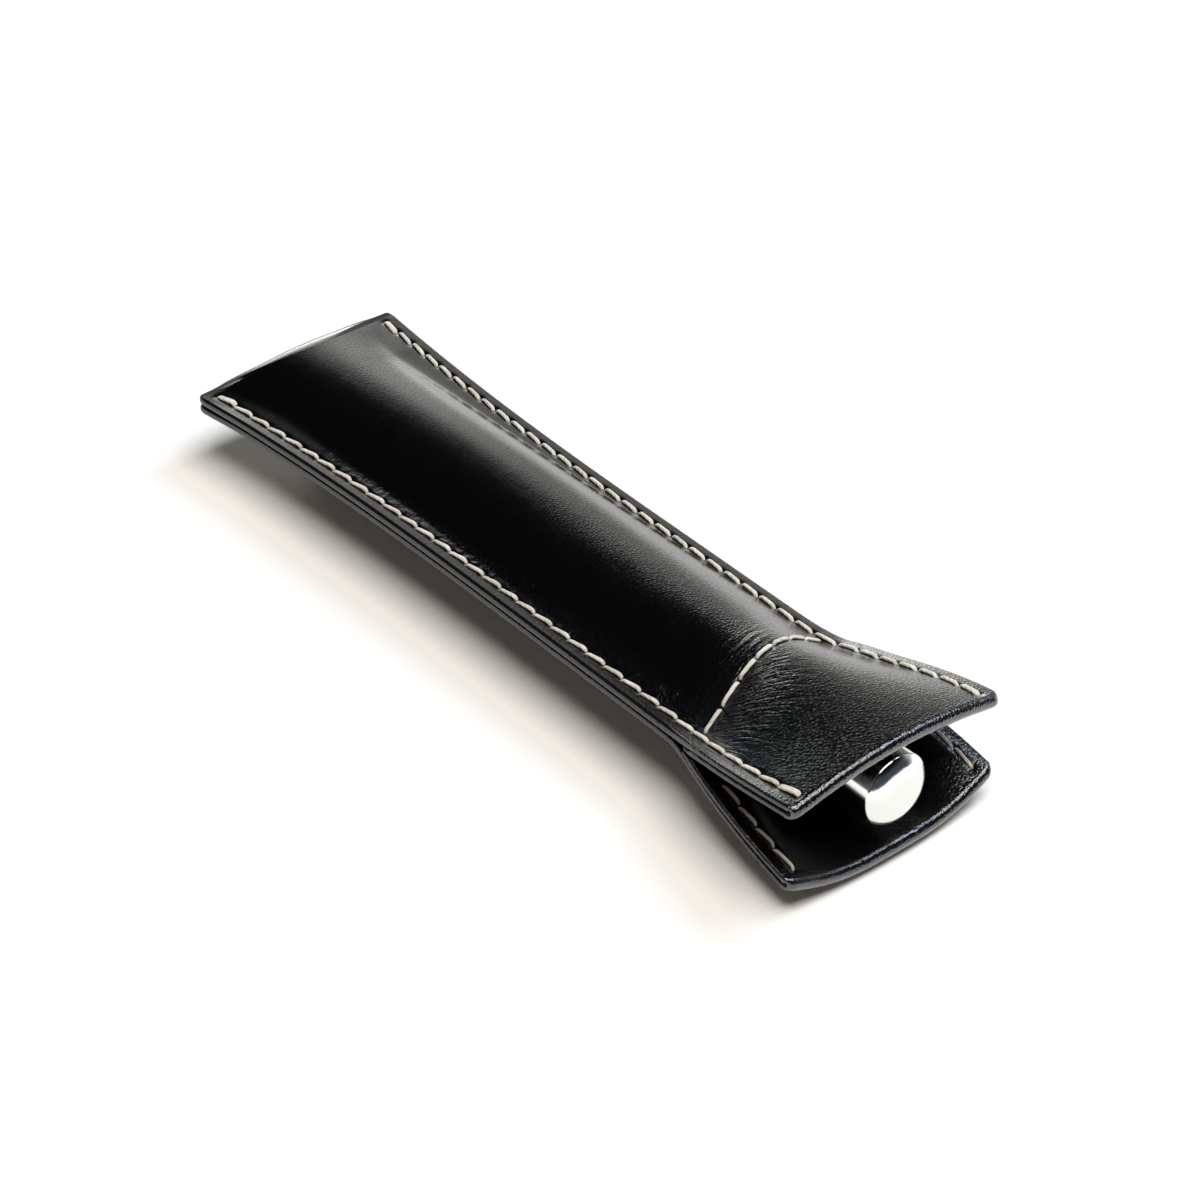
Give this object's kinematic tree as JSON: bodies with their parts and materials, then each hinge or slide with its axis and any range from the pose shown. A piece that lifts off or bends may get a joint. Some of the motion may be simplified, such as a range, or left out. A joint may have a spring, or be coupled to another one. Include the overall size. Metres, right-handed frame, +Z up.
{
  "type": "pen sleeve",
  "caption": "Slim stitched leather pen sleeve, folded at its closed end, with flared turned flaps at the mouth, holding a capped pen.",
  "frame": {"origin": "under the middle of the sleeve, on the surface that it lies on", "axes": "+X along the sleeve from its closed end to its mouth, +Z up from the surface that it lies on"},
  "size_m": [0.1562, 0.0438, 0.0233],
  "materials": {
    "black_leather": "smooth waxed cowhide, semi-gloss",
    "lining_leather": "matt flesh side, dyed black",
    "waxed_thread": "cream waxed thread",
    "polished_aluminium": "turned and polished",
    "satin_steel": "satin",
    "moulded_plastic": "moulded"
  },
  "bodies": {
    "sleeve": {"closed_end_fold": "black_leather", "upper_panel": "black_leather", "lower_panel": "black_leather", "upper_lining_end": "lining_leather", "lower_lining_end": "lining_leather", "near_side_upper_thread": "waxed_thread", "near_side_lower_thread": "waxed_thread", "far_side_upper_thread": "waxed_thread", "far_side_lower_thread": "waxed_thread", "upper_cross_thread": "waxed_thread", "lower_cross_thread": "waxed_thread"},
    "upper_flap": {"upper_flap": "black_leather", "upper_flap_near_outer_thread": "waxed_thread", "upper_flap_near_inner_thread": "waxed_thread", "upper_flap_far_outer_thread": "waxed_thread", "upper_flap_far_inner_thread": "waxed_thread"},
    "lower_flap": {"lower_flap": "black_leather", "lower_flap_near_outer_thread": "waxed_thread", "lower_flap_near_inner_thread": "waxed_thread", "lower_flap_far_outer_thread": "waxed_thread", "lower_flap_far_inner_thread": "waxed_thread"},
    "pen": {"pen_barrel": "polished_aluminium", "pen_grip": "satin_steel", "pen_refill": "satin_steel"},
    "cap": {"pen_cap": "polished_aluminium", "cap_liner": "moulded_plastic"}
  },
  "joints": [
    {"name": "upper_flap_bend", "type": "hinge", "parent": "sleeve", "child": "upper_flap", "pos_m": [0.05105, 0, 0.02235], "axis": [0, -1, 0], "range_deg": [0, 15], "stiffness_Nm_per_rad": 0.02},
    {"name": "lower_flap_bend", "type": "hinge", "parent": "sleeve", "child": "lower_flap", "pos_m": [0.05105, 0, 0.01225], "axis": [0, -1, 0], "range_deg": [0, 7], "stiffness_Nm_per_rad": 0.02},
    {"name": "pen_slide", "type": "slide", "parent": "sleeve", "child": "pen", "axis": [0.9992, 0, 0.0395], "range_m": [0, 0.15]},
    {"name": "cap_slide", "type": "slide", "parent": "pen", "child": "cap", "axis": [0.9992, 0, 0.0395], "range_m": [0, 0.06]}
  ]
}
